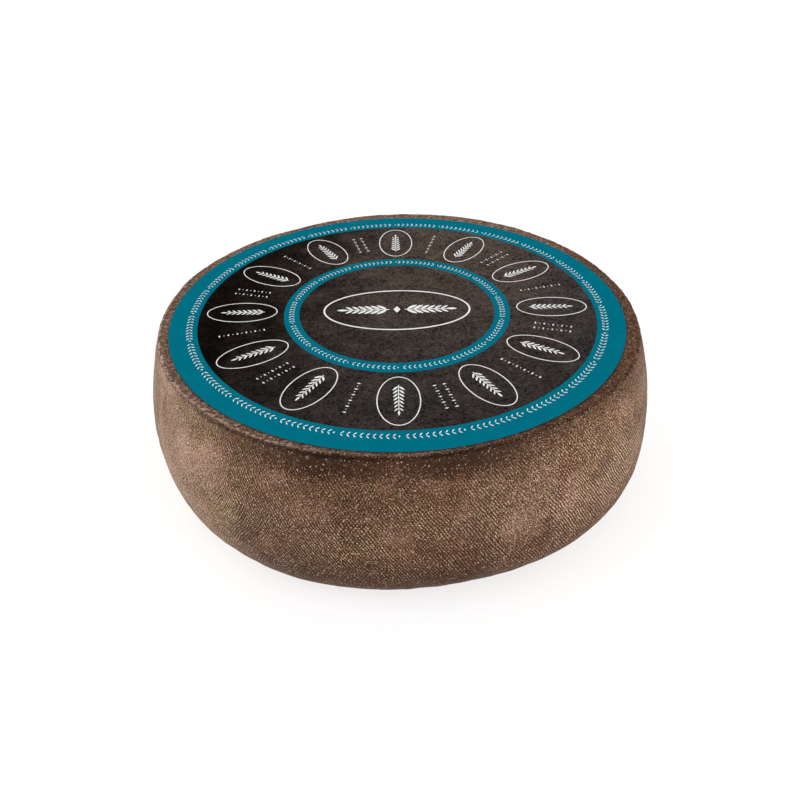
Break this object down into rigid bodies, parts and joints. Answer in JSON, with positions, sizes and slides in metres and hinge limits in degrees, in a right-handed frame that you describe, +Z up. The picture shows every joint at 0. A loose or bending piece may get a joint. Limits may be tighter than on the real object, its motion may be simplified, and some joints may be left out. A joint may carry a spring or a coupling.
{
  "type": "cheese wheel",
  "caption": "Whole pressed, cave-ripened cheese wheel with a cloth-marked brown rind and a round paper label on its top face.",
  "frame": {"origin": "centre of the flat underside the wheel stands on", "axes": "+Z up along the wheel's axis, from the underside to the labelled top; -Y towards the side seen first, with +X to its right"},
  "size_m": [0.259, 0.259, 0.0803],
  "materials": {
    "rind": "matt, cloth-marked",
    "label_paper": "satin print"
  },
  "bodies": {
    "root": {"cheese_wheel": "rind", "top_label": "label_paper"}
  },
  "joints": []
}
